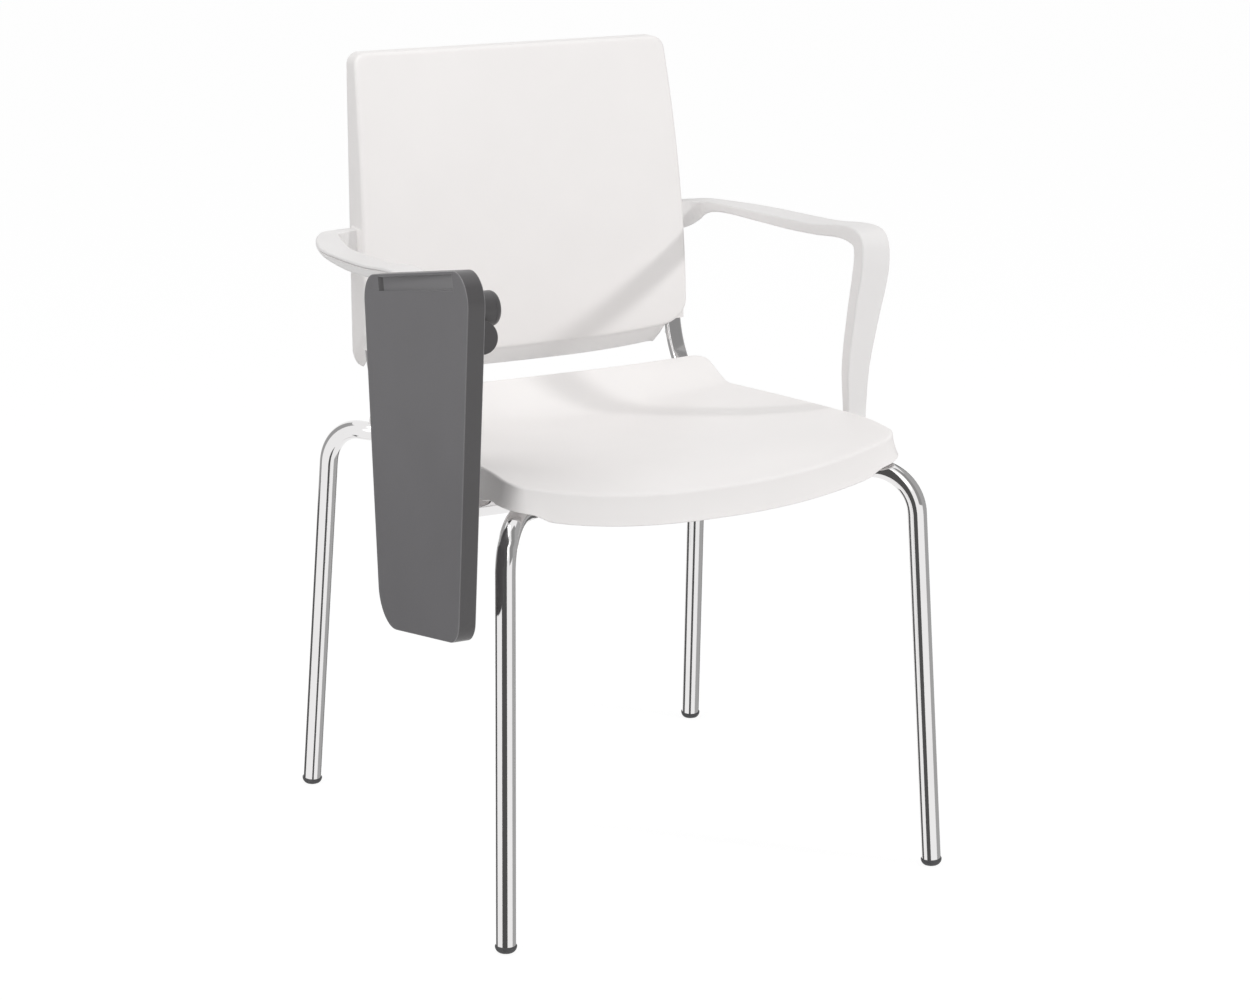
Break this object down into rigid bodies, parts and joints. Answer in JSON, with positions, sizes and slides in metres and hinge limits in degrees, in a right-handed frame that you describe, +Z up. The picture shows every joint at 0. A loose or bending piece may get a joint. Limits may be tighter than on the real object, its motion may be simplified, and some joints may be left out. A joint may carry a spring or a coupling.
{
  "type": "student desk chair with writing tablet",
  "caption": "Four-legged chair with white moulded seat, back and loop arms on chrome tubes, and an anthracite writing tablet that hangs beside the right arm.",
  "frame": {"origin": "middle of the whole box in plan, on the floor", "axes": "+Z up, the chair faces -Y, +X to the sitter's left"},
  "size_m": [0.5991, 0.6333, 0.82],
  "materials": {
    "chrome_tube": "polished",
    "white_plastic": "satin",
    "dark_plastic": "matte",
    "slate_board": "matte",
    "foot_plastic": "matte",
    "nylon": "satin",
    "plated_steel": "plated"
  },
  "bodies": {
    "chair": {"front_leg_arch": "chrome_tube", "rear_leg_arch": "chrome_tube", "left_back_rail": "chrome_tube", "right_back_rail": "chrome_tube", "arm_cross_tube": "chrome_tube", "tube_end_plugs": "plated_steel", "foot_front_left": "foot_plastic", "foot_front_right": "foot_plastic", "foot_rear_left": "foot_plastic", "foot_rear_right": "foot_plastic", "seat_shell": "white_plastic", "seat_screws": "plated_steel", "back_shell": "white_plastic", "back_screws": "plated_steel", "left_arm": "white_plastic", "right_arm": "white_plastic", "arm_foot_screws": "plated_steel", "arm_root_screws": "plated_steel", "arm_bracket": "dark_plastic", "bracket_screws": "plated_steel", "swing_axle": "plated_steel", "axle_washers": "nylon", "axle_nut": "plated_steel"},
    "swing": {"swing_block": "dark_plastic", "barrel_cap": "dark_plastic", "hinge_pin": "plated_steel", "hinge_washers": "nylon"},
    "tablet": {"tablet_carrier": "dark_plastic", "hinge_caps": "dark_plastic", "tablet_board": "slate_board", "carrier_screws": "plated_steel"}
  },
  "joints": [
    {"name": "swing_joint", "type": "hinge", "parent": "chair", "child": "swing", "pos_m": [-0.2336, -0.10004, 0.6165], "axis": [-1, 0, 0], "range_deg": [0, 169.3]},
    {"name": "fold_joint", "type": "hinge", "parent": "swing", "child": "tablet", "pos_m": [-0.2005, -0.10497, 0.59046], "axis": [0, -0.9826, 0.1857], "range_deg": [0, 90]}
  ],
  "couplings": [
    {"joint": "fold_joint", "follows": "swing_joint", "ratio": 0.5316}
  ]
}
